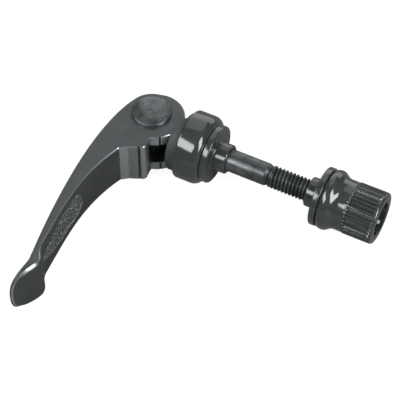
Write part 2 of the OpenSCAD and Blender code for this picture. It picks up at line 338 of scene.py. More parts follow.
def anodised_forging(settings):
    """Forged aluminium, blasted and anodised dark grey: an even satin, faintly clouded, with painted highlights
    on its rims, its web, lip and cam faces and the channel's rim, and lighter tops to the channel's grain.

    The blasting is finer than the render shows, so its grain is drawn 0.35 mm across.
    """
    material, tree, coords = new_material("satin_anodised_forging")
    cloud = add_node(tree, "ShaderNodeTexNoise", inputs={
        "Vector": coords, "Scale": features(6.0), "Detail": 3.0})
    grain = add_node(tree, "ShaderNodeTexNoise", inputs={
        "Vector": coords, "Scale": features(0.35), "Detail": 6.0, "Roughness": 0.6})
    lumps = add_node(tree, "ShaderNodeTexNoise", inputs={
        "Vector": coords, "Scale": features(0.42), "Detail": 5.0, "Roughness": 0.7})
    cast, rim, painted_face_light = (add_node(tree, "ShaderNodeAttribute", {"attribute_name": name}).outputs["Fac"]
                         for name in ("cast", "rim", "painted_face_light"))
    speckle = add_node(tree, "ShaderNodeMath", {"operation": "MULTIPLY"}, {0: lumps, 1: cast})
    # Lighter on the tops of the channel's grain, and painted highlights on the rims and on the web, lip and cam
    # faces
    tops_and_painted_highlight = add_node(tree, "ShaderNodeMapRange", inputs={"Value": speckle, "From Min": 0.45, "From Max": 0.6})
    for part in (rim, painted_face_light):
        tops_and_painted_highlight = add_node(tree, "ShaderNodeMath", {"operation": "MAXIMUM"}, {0: tops_and_painted_highlight, 1: part})
    anodised = blend_colours(tree, cloud, 0.3, 0.7, toned(settings.paint, 0.9), toned(settings.paint, 1.08))
    # Where that share is full the colour is painted four times as bright
    painted_highlight = blend_colours(tree, tops_and_painted_highlight, 0.0, 1.0, anodised, toned(settings.paint, 4.0))
    satin = add_node(tree, "ShaderNodeMapRange", inputs={"Value": grain, "To Min": 0.33, "To Max": 0.41})
    sheen = add_node(tree, "ShaderNodeMath", {"operation": "MULTIPLY_ADD"}, {0: tops_and_painted_highlight, 1: -0.16, 2: satin})
    fine = add_node(tree, "ShaderNodeBump", inputs={"Height": grain, "Distance": 0.03 * MM, "Strength": 0.06})
    rough = add_node(tree, "ShaderNodeBump", inputs={
        "Height": speckle, "Distance": 0.6 * MM, "Strength": 1.0, "Normal": fine})
    shader = add_node(tree, "ShaderNodeBsdfPrincipled", inputs={
        "Base Color": painted_highlight, "Metallic": 0.8, "Roughness": sheen, "Normal": rough})
    add_node(tree, "ShaderNodeOutputMaterial", inputs={"Surface": shader})
    return material


def turned_steel(name, rgba, stretch, roughness, groove=None):
    """Turned or drawn steel under black oxide: dark, with streaks along the tool's path.

    Real tool marks are finer than the render shows, so they are drawn 0.5 mm apart.
    """
    material, tree, coords = new_material(name)
    along = add_node(tree, "ShaderNodeMapping", inputs={"Vector": coords, "Scale": stretch})
    streak = add_node(tree, "ShaderNodeTexNoise", inputs={
        "Vector": along, "Scale": features(0.5), "Detail": 8.0, "Roughness": 0.65})
    patch = add_node(tree, "ShaderNodeTexNoise", inputs={
        "Vector": coords, "Scale": features(3.0), "Detail": 2.0})
    mixed = add_node(tree, "ShaderNodeMath", {"operation": "MULTIPLY"}, {0: streak, 1: patch})
    oxide = blend_colours(tree, mixed, 0.14, 0.40, toned(rgba, 0.5), toned(rgba, 1.45))
    if groove:
        oxide = groove_shade(tree, coords, oxide, *groove)
    satin = add_node(tree, "ShaderNodeMapRange", inputs={
        "Value": streak, "To Min": roughness - 0.08, "To Max": roughness + 0.1})
    marks = add_node(tree, "ShaderNodeBump", inputs={"Height": streak, "Distance": 0.02 * MM, "Strength": 0.6})
    shader = add_node(tree, "ShaderNodeBsdfPrincipled", inputs={
        "Base Color": oxide, "Metallic": 0.75, "Roughness": satin, "Normal": marks})
    add_node(tree, "ShaderNodeOutputMaterial", inputs={"Surface": shader})
    return material


def gloss_black(name, rgba, roughness, groove=None):
    """Polished black coating or moulding: deep gloss with a faint ripple that softens reflections.

    Its dust is finer than the render shows, so it is drawn 0.25 mm across.
    """
    material, tree, coords = new_material(name)
    ripple = add_node(tree, "ShaderNodeTexNoise", inputs={
        "Vector": coords, "Scale": features(2.4), "Detail": 2.0})
    dust = add_node(tree, "ShaderNodeTexNoise", inputs={
        "Vector": coords, "Scale": features(0.25), "Detail": 5.0})
    black = blend_colours(tree, ripple, 0.25, 0.75, toned(rgba, 0.85), toned(rgba, 1.15))
    if groove:
        black = groove_shade(tree, coords, black, *groove)
    polish = add_node(tree, "ShaderNodeMapRange", inputs={
        "Value": dust, "To Min": roughness - 0.04, "To Max": roughness + 0.06})
    waves = add_node(tree, "ShaderNodeBump", inputs={"Height": ripple, "Distance": 0.004 * MM, "Strength": 0.5})
    shader = add_node(tree, "ShaderNodeBsdfPrincipled", inputs={
        "Base Color": black, "Roughness": polish, "Normal": waves,
        "Coat Weight": 1.0, "Coat IOR": 1.6, "Coat Roughness": roughness})
    add_node(tree, "ShaderNodeOutputMaterial", inputs={"Surface": shader})
    return material


def matt_moulding(rgba):
    """Glass-filled nylon: matt dark grey with fine mould lines round the plug.

    The fibres' grain is finer than the render shows, so it is drawn 0.2 mm across.
    """
    material, tree, coords = new_material("matt_nylon_moulding")
    along = add_node(tree, "ShaderNodeMapping", inputs={"Vector": coords, "Scale": (2.6, 0.5, 0.5)})
    lines = add_node(tree, "ShaderNodeTexNoise", inputs={
        "Vector": along, "Scale": features(0.5), "Detail": 4.0})
    grain = add_node(tree, "ShaderNodeTexNoise", inputs={
        "Vector": coords, "Scale": features(0.2), "Detail": 5.0})
    grey = blend_colours(tree, lines, 0.3, 0.7, toned(rgba, 0.75), toned(rgba, 1.25))
    matt = add_node(tree, "ShaderNodeMapRange", inputs={"Value": grain, "To Min": 0.5, "To Max": 0.68})
    pits = add_node(tree, "ShaderNodeBump", inputs={"Height": grain, "Distance": 0.03 * MM, "Strength": 0.6})
    shader = add_node(tree, "ShaderNodeBsdfPrincipled", inputs={
        "Base Color": grey, "Roughness": matt, "Normal": pits})
    add_node(tree, "ShaderNodeOutputMaterial", inputs={"Surface": shader})
    return material


# Cubic curves of the lever's side view, in millimetres from the pivot
SHOULDER = ((-5.324, 4.467), (-6.867, 2.629), (-8.15, -3.0), (-8.5, -7.0))
BACK = ((-8.5, -7.0), (-10.1, -20.0), (-7.3, -40.3), (-4.3, -54.3))
PAD_BACK = ((-4.3, -54.3), (-4.3, -57.3), (-4.9, -59.6), (-5.4, -62.6))
PAD_FRONT = ((-4.4, -62.6), (-3.8, -59.6), (-1.7, -56.5), (-1.4, -54.3))
PAD_NECK = ((-1.4, -54.3), (-1.4, -51.7), (-3.65, -51.2), (-3.9, -48.6))
INNER = ((-3.9, -48.6), (-4.95, -36.2), (-6.4, -26.0), (-1.9, -14.2))
WEB = (Vector((-1.9, -14.2)), Vector((-0.166, -12.846)), Vector((2.9235, -11.507)))
LIP_CENTRE = Vector((2.6, -10.3))
LIP_R = 1.25
LIP_ARC = (-75.0, 15.0)
WEB_FRONT_X = 3.55
FORK_FLOOR = -8.3
FORK_HALF = 3.4
PIVOT = Vector((0, 0))
CAM_CENTRE = Vector((1.4, -0.2))
CAM_R = 7.5
HEAD_R = 6.95
HEAD_BACK = 140.0
ARM_TOP = -14.2
TIP_Y = -62.6
LEVER_HALF = 6.5
PAD_HALF = LEVER_HIGH.z
PAD_ROUND = 6.9
PAD_SQUARE = 2.6
PAD_FLARE = 4.5
PAD_WIDE_Y = TIP_Y + PAD_ROUND
CHANNEL_TOP = -27.8
CHANNEL_END = -50.0
CHANNEL_HALF = 4.2
# The channel closes in a squarish round at its top and in a point towards the pad, and has a soft wall
CHANNEL_ROUND, CHANNEL_SQUARE = 4.5, 2.2
CHANNEL_POINT, CHANNEL_FULL, CHANNEL_TAPER = 10.0, 0.97, 0.62
CHANNEL_WALL = 0.45
# Size and seed of the cast grain, then its roughness, the step between its octaves and their number
CAST_GRAIN, CAST_SEED = 0.65, 3.7
CAST_FRACTAL = (0.8, 2.1, 4)
# The pad's bevel: where it starts and eases in, its height and run, and the most it takes of a thin tip
BEVEL_FROM, BEVEL_EASE = -49.5, 4.0
BEVEL_HIGH, BEVEL_RUN, BEVEL_SHARE = 0.75, 0.62, 0.45
# How much painted light the faces get: the web's lower and upper facet, the lip, the cams, and the channel's
# rim
FACET_SHINE, WEB_SHINE, LIP_SHINE, CAM_SHINE = 1.0, 0.6, 0.8, 0.9
CHANNEL_SHINE = 3.0
# Rows near the tip, by their height above it, and rows from there to the web
TIP_ROWS = (0.015, 0.06, 0.13, 0.22, 0.34, 0.5, 0.7, 0.92, 1.16)
ARM_ROWS = 210
# Columns by their angle in the rounded edge, then by their distance from the side, then between
EDGE_COLUMNS = (0, 18, 36, 54, 72, 90)
SIDE_COLUMNS = (0.46, 0.56, 0.66, 0.78, 0.95)
INNER_COLUMNS = 60


def bezier(p, steps):
    """Points along a cubic curve."""
    points = []
    for i in range(steps + 1):
        t = i / steps
        s = 1 - t
        weights = (s * s * s, 3 * s * s * t, 3 * s * t * t, t * t * t)
        points.append(Vector((sum(w * q[0] for w, q in zip(weights, p)),
                              sum(w * q[1] for w, q in zip(weights, p)))))
    return points


def on_circle(centre, radius, degrees):
    """The point of a circle at an angle."""
    return centre + radius * Vector((math.cos(math.radians(degrees)), math.sin(math.radians(degrees))))


def arc_points(centre, radius, a0, a1, steps):
    """Points along an arc, angles in degrees."""
    return [on_circle(centre, radius, a0 + (a1 - a0) * i / steps) for i in range(steps + 1)]


def at_height(chain, y):
    """The point of a chain, rising in Y, at a height."""
    for a, b in zip(chain, chain[1:]):
        if a.y <= y <= b.y and b.y > a.y:
            return a.lerp(b, (y - a.y) / (b.y - a.y))
    return chain[-1].copy() if y > chain[-1].y else chain[0].copy()


def evenly(points, step):
    """The same open chain with points about a step apart, its ends kept."""
    lengths = [0.0]
    for a, b in zip(points, points[1:]):
        lengths.append(lengths[-1] + (b - a).length)
    count = max(1, round(lengths[-1] / step))
    out, j = [], 0
    for i in range(count + 1):
        d = lengths[-1] * i / count
        while j < len(points) - 2 and lengths[j + 1] < d:
            j += 1
        piece = lengths[j + 1] - lengths[j]
        out.append(points[j].lerp(points[j + 1], (d - lengths[j]) / piece if piece else 0.0))
    return out


def half_width(y):
    """Half of the lever's width at a height: the arm's, flaring to the pad's, drawn in round the tip."""
    if y >= PAD_WIDE_Y:
        return PAD_HALF + (LEVER_HALF - PAD_HALF) * smooth((y - PAD_WIDE_Y) / PAD_FLARE)
    u = (PAD_WIDE_Y - y) / PAD_ROUND
    return PAD_HALF * (1 - min(1.0, u) ** PAD_SQUARE) ** (1 / PAD_SQUARE)


def rim_distance(y, z):
    """About how far a point of the plan lies inside the lever's sides and tip."""
    if y >= PAD_WIDE_Y:
        return half_width(y) - abs(z)
    u, v = (PAD_WIDE_Y - y) / PAD_ROUND, abs(z) / PAD_HALF
    level = (u ** PAD_SQUARE + v ** PAD_SQUARE) ** (1 / PAD_SQUARE)
    if level < 1e-6:
        return PAD_HALF
    pull = PAD_SQUARE - 1
    slope = math.hypot((u / level) ** pull / PAD_ROUND, (v / level) ** pull / PAD_HALF)
    return max(0.0, (1 - level) / slope)


def bevel_drop(distance, height, run):
    """How far a straight bevel with soft ends falls below its face, at a distance from the rim."""
    line = height * (1 - distance / run)
    return (line + math.sqrt(line * line + 0.01 * height * height)) / 2


def round_drop(distance, radius):
    """How far a rounded edge falls below its face, at a distance from the rim."""
    if distance >= radius:
        return 0.0
    return radius - math.sqrt(max(0.0, radius * radius - (radius - distance) ** 2))


def channel_share(y, z):
    """1 on the channel's floor, 0 outside it, with a soft wall between."""
    if y > CHANNEL_TOP or y < CHANNEL_END:
        return 0.0
    down = CHANNEL_TOP - y
    up = y - CHANNEL_END
    half = CHANNEL_HALF
    if down < CHANNEL_ROUND:
        half *= math.sqrt(max(0.0, 1 - ((CHANNEL_ROUND - down) / CHANNEL_ROUND) ** CHANNEL_SQUARE))
    if up < CHANNEL_POINT:
        half = min(half, CHANNEL_HALF * (CHANNEL_FULL * (up / CHANNEL_POINT) ** CHANNEL_TAPER))
    return max(0.0, min(1.0, (half - abs(z)) / CHANNEL_WALL + 0.1))


def smooth(value):
    """Smooth step of a value between 0 and 1."""
    value = max(0.0, min(1.0, value))
    return value * value * (3 - 2 * value)


def lever_outline():
    """The lever's side view: the front and back chains, the head between them, and how much painted light each
    point of the head gets.

    The chains have points at the same heights, from the tip to the foot of the web.
    """
    front_curve = bezier(PAD_FRONT, 60) + bezier(PAD_NECK, 60)[1:] + bezier(INNER, 200)[1:]
    back_curve = bezier(PAD_BACK, 60)[::-1] + bezier(BACK, 200)[::-1][1:]
    heights = [TIP_Y + d for d in TIP_ROWS]
    first = heights[-1]
    heights += [first + (ARM_TOP - first) * i / ARM_ROWS for i in range(1, ARM_ROWS + 1)]
    front = [at_height(front_curve, y) for y in heights]
    back = [at_height(back_curve, y) for y in heights]
    web = evenly(WEB[:2], 0.2)[1:] + evenly(WEB[1:], 0.3)[1:]
    lip = arc_points(LIP_CENTRE, LIP_R, *LIP_ARC, 12)[1:]
    fork_edge = [Vector((WEB_FRONT_X, FORK_FLOOR))]
    cam_low = math.degrees(math.asin((-math.sqrt(CAM_R ** 2 - (WEB_FRONT_X - CAM_CENTRE.x) ** 2)) / CAM_R))
    meet = min((i / 100 for i in range(3000, 12000)),
               key=lambda a: abs((on_circle(PIVOT, HEAD_R, a) - CAM_CENTRE).length - CAM_R))
    meet_point = on_circle(PIVOT, HEAD_R, meet)
    cam_high = math.degrees(math.atan2(meet_point.y - CAM_CENTRE.y, meet_point.x - CAM_CENTRE.x))
    cam = arc_points(CAM_CENTRE, CAM_R, cam_low, cam_high, 70)
    crown = arc_points(PIVOT, HEAD_R, meet, HEAD_BACK, 36)[1:]
    shoulder = bezier(SHOULDER, 20)[1:]
    upper_back = [p for p in evenly(bezier(BACK, 120), 0.35) if p.y > back[-1].y + 0.1][1:]
    head = web + lip + fork_edge + cam + crown + shoulder + upper_back
    shine = [FACET_SHINE if p.x < WEB[1].x + 0.01 else WEB_SHINE for p in web]
    shine += [LIP_SHINE] * len(lip) + [0.0] + [CAM_SHINE] * len(cam)
    return front, head, back[::-1], shine


def lever_columns(edge):
    """Columns across the lever, from -1 to 1, close together in the rounding at each side."""
    near = [edge * (1 - math.cos(math.radians(a))) for a in EDGE_COLUMNS] + list(SIDE_COLUMNS)
    columns = [-1 + d / LEVER_HALF for d in near]
    start, end = columns[-1], -columns[-1]
    columns += [start + (end - start) * i / INNER_COLUMNS for i in range(1, INNER_COLUMNS)]
    return columns + [-c for c in reversed(columns[:len(near)])]


def lever_mesh(settings):
    """The forging: its side view carried across the width, rims rounded, tip drawn round, channel sunk."""
    front, head, back, shine = lever_outline()
    outline = front + head + back
    count = len(outline)
    edge = settings.edge / MM
    depth = settings.channel_depth / MM
    cast = settings.cast_height / MM
    columns = lever_columns(edge)
    # Painted light on the web's facets, the lip and the cams, nothing elsewhere
    bright = [0.0] * len(front) + shine + [0.0] * (count - len(front) - len(shine))
    bm = bmesh.new()
    # Layers of the channel's grain, of painted highlight on the rims, and of painted light on the head's faces
    roughness, painted_highlight, painted_face_light = (bm.verts.layers.float.new(name) for name in ("cast", "rim", "painted_face_light"))
    grid = []
    for i, point in enumerate(outline):
        along = outline[(i + 1) % count] - outline[i - 1]
        normal = Vector((along.y, -along.x)).normalized()
        if i in (0, count - 1):
            normal = Vector((1.0 if i == 0 else -1.0, 0.0))
        on_arm, on_front = point.y < ARM_TOP, i < len(front)
        width = half_width(point.y) if on_arm else LEVER_HALF
        bevel = 0.0
        if on_front:
            thick = point.x - back[len(back) - 1 - i].x
            bevel = smooth((BEVEL_FROM - point.y) / BEVEL_EASE) * min(1.0, BEVEL_SHARE * thick / BEVEL_HIGH)
        ring = []
        for column in columns:
            z = column * width
            away = rim_distance(point.y, z) if on_arm else LEVER_HALF - abs(z)
            drop = round_drop(away, edge) * (1 - bevel) + bevel * bevel_drop(away, BEVEL_HIGH, BEVEL_RUN)
            place = point - normal * drop
            share = smooth(channel_share(point.y, z)) if on_front else 0.0
            if share > 0:
                bumpy = noise.fractal(Vector((point.y / CAST_GRAIN, z / CAST_GRAIN, CAST_SEED)), *CAST_FRACTAL)
                place = place - normal * (depth * share - cast * share * (0.5 + bumpy))
            vert = bm.verts.new((max(PIVOT_X + place.x, LEVER_LOW.x), place.y, z))
            vert[roughness] = share
            # Painted highlight along the channel's wall and along the middle of each rounded edge
            vert[painted_highlight] = max(CHANNEL_SHINE * share * (1 - share), 4 * (away / edge) * (1 - away / edge))
            # Painted light on the head's faces, fading out into the rounded edges
            vert[painted_face_light] = bright[i] * smooth(away / edge)
            ring.append(vert)
        grid.append(ring)
    for i in range(count):
        a, b = grid[i], grid[(i + 1) % count]
        for j in range(len(columns) - 1):
            bm.faces.new((a[j], b[j], b[j + 1], a[j + 1]))
    last = count - 1
    for side in (0, len(columns) - 1):
        for k in range(len(front) - 1):
            bm.faces.new([grid[n][side] for n in (k, k + 1, last - 1 - k, last - k)])
        bm.faces.new([grid[n][side] for n in range(len(front) - 1, len(front) + len(head) + 1)])
    bmesh.ops.remove_doubles(bm, verts=bm.verts, dist=1e-4)
    return mesh_object("lever_forging", bm)


WAVE_INPUTS = ("Around", "Step", "Origin", "Depth", "Floor", "Crest", "Start", "End", "Fade", "Inner", "Outer")


def radial_wave(obj, name, inputs, material):
    """Sinks a wave into a turned piece with Geometry Nodes: ribs along the axis, or a helical thread.

    The wave's phase counts turns round the axis plus steps along it; floor and crest flatten it.
    """
    tree = bpy.data.node_groups.new(name, "GeometryNodeTree")
    interface = tree.interface
    interface.new_socket("Geometry", in_out="INPUT", socket_type="NodeSocketGeometry")
    sockets = {label: interface.new_socket(label, in_out="INPUT", socket_type="NodeSocketFloat")
               for label in WAVE_INPUTS}
    interface.new_socket("Geometry", in_out="OUTPUT", socket_type="NodeSocketGeometry")
    group = add_node(tree, "NodeGroupInput").outputs
    axes, across, radius = radial_parts(tree, add_node(tree, "GeometryNodeInputPosition"))
    known = {"x": axes["X"], "y": axes["Y"], "z": axes["Z"], "radius": radius}
    known.update({label: group[label] for label in WAVE_INPUTS})

    # Each row names a value and makes it from two others or from numbers
    for made, operation, first, second in (
            ("angle", "ARCTAN2", "z", "y"),
            ("turns", "DIVIDE", "angle", 2 * math.pi),
            ("distance", "SUBTRACT", "x", "Origin"),
            ("steps", "DIVIDE", "distance", "Step"),
            ("lag", "MULTIPLY", "turns", "Around"),
            ("phase", "SUBTRACT", "steps", "lag"),
            ("half_wave", "PINGPONG", "phase", 0.5),
            ("wave", "MULTIPLY", "half_wave", 2.0),
            ("started", "ADD", "Start", "Fade"),
            ("ending", "SUBTRACT", "End", "Fade")):
        known[made] = add_node(tree, "ShaderNodeMath", {"operation": operation}, {
            0: known.get(first, first), 1: known.get(second, second)})
    # Each row eases a value from one share to another between two limits
    sink = add_node(tree, "ShaderNodeMath", {"operation": "MULTIPLY"}, {0: known["Depth"], 1: -1.0})
    for value, low, high, from_share, to_share, kind in (
            ("wave", "Floor", "Crest", 0.0, 1.0, "LINEAR"),
            ("x", "Start", "started", 0.0, 1.0, "SMOOTHSTEP"),
            ("x", "ending", "End", 1.0, 0.0, "SMOOTHSTEP"),
            ("radius", "Inner", "Outer", 0.0, 1.0, "SMOOTHSTEP")):
        share = add_node(tree, "ShaderNodeMapRange", {"interpolation_type": kind}, {
            "Value": known[value], "From Min": known[low], "From Max": known[high],
            "To Min": from_share, "To Max": to_share})
        sink = add_node(tree, "ShaderNodeMath", {"operation": "MULTIPLY"}, {0: sink, 1: share})
    direction = add_node(tree, "ShaderNodeVectorMath", {"operation": "NORMALIZE"}, {0: across})
    offset = add_node(tree, "ShaderNodeVectorMath", {"operation": "SCALE"}, {0: direction, "Scale": sink})
    moved = add_node(tree, "GeometryNodeSetPosition", inputs={"Geometry": group["Geometry"], "Offset": offset})
    real = add_node(tree, "GeometryNodeRealizeInstances", inputs={"Geometry": moved})
    painted = add_node(tree, "GeometryNodeSetMaterial", inputs={"Geometry": real, "Material": material})
    add_node(tree, "NodeGroupOutput", inputs={"Geometry": painted})
    modifier = obj.modifiers.new(name, "NODES")
    modifier.node_group = tree
    for label, value in inputs.items():
        modifier[sockets[label].identifier] = value
    bake(obj)


class QR_OT_lever(Operator):
    """Builds the forged lever with its fork slot, bore, witness marks and cast channel."""
    bl_idname = "quick_release.lever"
    bl_label = "Lever"

    def execute(self, context):
        settings = context.scene.qr_lever
        obj = lever_mesh(settings)
        boolean(obj, box_cutter((PIVOT_X - REACH, FORK_FLOOR, -FORK_HALF), (PIVOT_X + REACH, REACH, FORK_HALF)))
        play = 0.05
        boolean(obj, post_cutter(PIVOT_X, 0.0, BARREL_R + play, REACH / 2))
        mark_r, mark_a, mark_x = 0.25, math.radians(-55), 2.5
        boolean(obj, post_cutter(PIVOT_X + CAM_CENTRE.x + CAM_R * math.cos(mark_a),
                                 CAM_CENTRE.y + CAM_R * math.sin(mark_a), mark_r, REACH / 2, 24))
        boolean(obj, post_cutter(PIVOT_X + mark_x, LIP_CENTRE.y - LIP_R, mark_r, REACH / 2, 24))
        shade(obj, 26)
        finish_piece(obj, anodised_forging(settings), "lever", "lever_alloy", "lever")
        return {"FINISHED"}


class QR_OT_barrel(Operator):
    """Turns the cross barrel with its rounded rims and domed ends, and bores it for the rod."""
    bl_idname = "quick_release.barrel"
    bl_label = "Pivot barrel"

    def execute(self, context):
        rise, lip, fit = 0.7, 0.3, 0.02
        rim_z = BARREL_HIGH.z - rise
        flat = BARREL_R - lip
        dome_r = (flat * flat + rise * rise) / (2 * rise)
        reach = math.asin(flat / dome_r)
        edge = [(rim_z - lip + lip * math.sin(math.radians(a)), flat + lip * math.cos(math.radians(a)))
                for a in range(0, 91, 15)]
        dome = [(rim_z + rise - dome_r + dome_r * math.cos(reach * (1 - i / 14)),
                 dome_r * math.sin(reach * (1 - i / 14))) for i in range(1, 15)]
        half = edge + dome
        profile = half + [(-x, r) for x, r in reversed(half)]
        bm = bmesh.new()
        lathe(bm, profile, 160, "Z", (PIVOT_X, 0.0))
        obj = mesh_object("barrel_turned", bm)
        boolean(obj, bar_cutter(PIVOT_X - REACH / 2, PIVOT_X + REACH / 2, ROD_R + fit))
        shade(obj, 30)
        steel = toned(context.scene.qr_thread.steel, 1.12)
        material = turned_steel("turned_steel_barrel", steel, (1.0, 1.0, 0.2), 0.34)
        finish_piece(obj, material, "bolt", "barrel_steel", "pivot_barrel")
        return {"FINISHED"}


class QR_OT_rod(Operator):
    """Turns the rod and cuts its right-hand thread with Geometry Nodes."""
    bl_idname = "quick_release.rod"
    bl_label = "Rod"

    def execute(self, context):
        settings = context.scene.qr_thread
        pitch, depth = settings.pitch / MM, settings.depth / MM
        tail, tip = ROD_LOW.x, ROD_HIGH.x
        shank_end, root_at, thread_start = 14.1, 15.3, 15.55
        chamfer, first_gap, last_gap, tip_gap = 0.4, 0.12, 0.62, 0.6
        root = ROD_R - depth
        profile = [(tail, 0.0), (tail, ROD_R - chamfer), (tail + chamfer, ROD_R)]
        profile += round_corners([(tail, ROD_R), (shank_end, ROD_R, 0.4), (root_at, root, 0.15),
                                  (thread_start, ROD_R, 0.1), (tip, ROD_R)])[1:-1]
        samples_per_turn = 12
        first = thread_start + first_gap
        last = tip - last_gap
        count = int((last - first) / pitch * samples_per_turn)
        profile += [(first + (last - first) * i / count, ROD_R) for i in range(count + 1)]
        profile += [(tip, ROD_R - tip_gap), (tip, 0.0)]
        bm = bmesh.new()
        lathe(bm, [tuple(p) for p in profile], 96)
        obj = mesh_object("rod_threaded", bm)
        material = turned_steel("black_oxide_rod", settings.steel, (0.12, 1.0, 1.0), 0.36,
                                (ROD_R - 0.45, ROD_R - 0.15))
        radial_wave(obj, "thread", {
            "Around": 1.0, "Step": pitch * MM, "Origin": -0.2 * MM, "Depth": depth * MM,
            "Floor": 0.12, "Crest": 0.9, "Start": (thread_start - 0.1) * MM, "End": (tip + 0.4) * MM,
            "Fade": 0.6 * MM, "Inner": 2.0 * MM, "Outer": 2.3 * MM}, material)
        shade(obj, 40)
        finish_piece(obj, material, "bolt", "rod_steel", "rod")
        return {"FINISHED"}


class QR_OT_seat(Operator):
    """Builds the cam seat: a plug with its groove, its horn and its low land, edges eased."""
    bl_idname = "quick_release.seat"
    bl_label = "Cam seat"

    def execute(self, context):
        radius = SEAT_HIGH.y
        floor_rise, land_rise, cam_play, groove_drop = 1.35, 0.8, 0.25, 0.2
        floor_x, land_x = CUP_LOW.x - floor_rise, CUP_LOW.x - land_rise
        groove_r, groove_y = CAM_R + cam_play, CAM_CENTRE.y - groove_drop
        # The step from the groove up to the low land, in Y, with a slope between
        step_x, step_low, step_high = floor_x - 0.2, 0.8, 1.7
        far_x, far = -14.0, 12
        bm = bmesh.new()
        lathe(bm, [tuple(p) for p in round_corners([
            (SEAT_HIGH.x, BORE_R), (SEAT_HIGH.x, radius, 0.2), (SEAT_LOW.x, radius, 0.4),
            (SEAT_LOW.x, BORE_R)])], 192)
        obj = mesh_object("seat_plug", bm)
        boolean(obj, post_cutter(floor_x - groove_r, groove_y, groove_r, far, 256))
        corners = [(step_x, step_low), (land_x, step_high), (land_x, far), (far_x, far), (far_x, step_low)]
        boolean(obj, prism_cutter([(x, y, -far) for x, y in corners], [(x, y, far) for x, y in corners]))
        shade(obj, 30)
        finish_piece(obj, matt_moulding(linear("#4c4f50")), "housing", "seat_plastic", "cam_seat")
        return {"FINISHED"}


class QR_OT_cup(Operator):
    """Turns the glossy cup that holds the seat."""
    bl_idname = "quick_release.cup"
    bl_label = "Cup"

    def execute(self, context):
        radius = CUP_HIGH.y
        seat_fit = 0.02
        pocket_x, pocket_r = SEAT_HIGH.x, SEAT_HIGH.y + seat_fit
        profile = round_corners([
            (pocket_x, BORE_R), (pocket_x, pocket_r), (CUP_LOW.x, pocket_r, 0.15), (CUP_LOW.x, radius, 0.6),
            (CUP_HIGH.x, radius, 2.3), (CUP_HIGH.x, BORE_R, 0.15)], 10)
        bm = bmesh.new()
        lathe(bm, [tuple(p) for p in profile], 192)
        obj = mesh_object("cup_turned", bm)
        shade(obj, 30)
        material = gloss_black("polished_black_cup", context.scene.qr_nut.gloss, 0.12)
        finish_piece(obj, material, "housing", "cup_gloss", "housing_cup")
        return {"FINISHED"}


def washer_piece(name, face_x, spigot_x, back_x, radius):
    """One stepped washer from its back, over its flange and spigot."""
    spigot_r = 3.9
    profile = round_corners([
        (back_x, BORE_R, 0.15), (back_x, radius, 0.2), (face_x, radius, 0.35), (face_x, spigot_r, 0.3),
        (spigot_x, spigot_r, 0.4), (spigot_x, BORE_R, 0.15)], 8)
    bm = bmesh.new()
    lathe(bm, [tuple(p) for p in profile], 160)
    obj = mesh_object(name, bm)
    shade(obj, 30)
    return obj


class QR_OT_washers(Operator):
    """Turns the two stepped washers."""
    bl_idname = "quick_release.washers"
    bl_label = "Clamp washers"

    def execute(self, context):
        radius = WASHER_HIGH.y
        material = gloss_black("black_coated_washer", context.scene.qr_nut.gloss, 0.16)
        near = washer_piece("washer_near", 0.0, WASHER_HIGH.x, WASHER_LOW.x, radius)
        finish_piece(near, material, "lever_washer", "washer_black", "lever_side_washer")
        far_face = NUT_WASHER_HIGH.x + WASHER_LOW.x
        far = washer_piece("washer_far", far_face, NUT_WASHER_LOW.x, NUT_WASHER_HIGH.x, radius)
        finish_piece(far, material, "nut_washer", "washer_black", "nut_side_washer")
        return {"FINISHED"}


def bezier_profile(p, steps):
    """A cubic curve as profile points."""
    return [tuple(v) for v in bezier(p, steps)]


class QR_OT_nut(Operator):
    """Turns the thumb nut and sinks its ribs with Geometry Nodes."""
    bl_idname = "quick_release.nut"
    bl_label = "Thumb nut"

    def execute(self, context):
        settings = context.scene.qr_nut
        left, right = NUT_LOW.x, NUT_HIGH.x
        bell_r, neck_r, grip_r = NUT_HIGH.y, 6.7, 6.85
        bell_len, grip_left, end_r = 4.9, left + 7.2, 0.6
        recess_r, recess_depth, floor_back = 4.4, 0.8, 2.0
        bore = ROD_R + 0.3
        # The bell's rounded rim, then its fall to the neck
        profile = [(left, bore)]
        profile += bezier_profile([(left, bell_r - 0.8), (left + 0.3, bell_r - 0.25),
                                   (left + 0.9, bell_r), (left + 1.6, bell_r)], 12)
        profile += bezier_profile([(left + 1.6, bell_r), (left + 3.2, bell_r), (left + bell_len - 1.9, neck_r),
                                   (left + bell_len, neck_r)], 24)[1:]
        # The neck, the grip in rows fine enough for its ribs to end softly, its rounded end and its recess
        profile += [(grip_left - 0.9, neck_r), (grip_left - 0.3, neck_r + 0.02), (grip_left, grip_r)]
        grip_end, grip_rows = right - end_r, 26
        profile += [(grip_left + (grip_end - grip_left) * i / grip_rows, grip_r)
                    for i in range(1, grip_rows + 1)]
        profile += [(grip_end + end_r * math.sin(math.radians(a)),
                     grip_r - end_r * (1 - math.cos(math.radians(a)))) for a in range(8, 91, 8)]
        profile += [(right, recess_r + 0.12), (right - 0.12, recess_r), (right - recess_depth, recess_r - 0.12),
                    (right - recess_depth, 0.0), (right - floor_back, 0.0), (right - floor_back, bore)]
        bm = bmesh.new()
        lathe(bm, profile, 480)
        obj = mesh_object("thumb_nut_moulded", bm)
        material = gloss_black("polished_black_nut", settings.gloss, 0.12, (grip_r - 0.42, grip_r - 0.2))
        radial_wave(obj, "grip_ribs", {
            "Around": float(settings.rib_count), "Step": 1.0, "Origin": 0.0, "Depth": settings.rib_depth,
            "Floor": 0.25, "Crest": 0.85, "Start": (grip_left - 0.15) * MM, "End": (right - 0.5) * MM,
            "Fade": 0.2 * MM, "Inner": 5.6 * MM, "Outer": 6.2 * MM}, material)
        pocket_len, pocket_flats = 7.02, 8.44
        boolean(obj, hex_cutter(left - 0.5, left + pocket_len, pocket_flats))
        shade(obj, 34)
        finish_piece(obj, material, "nut", "nut_plastic", "thumb_nut")
        return {"FINISHED"}


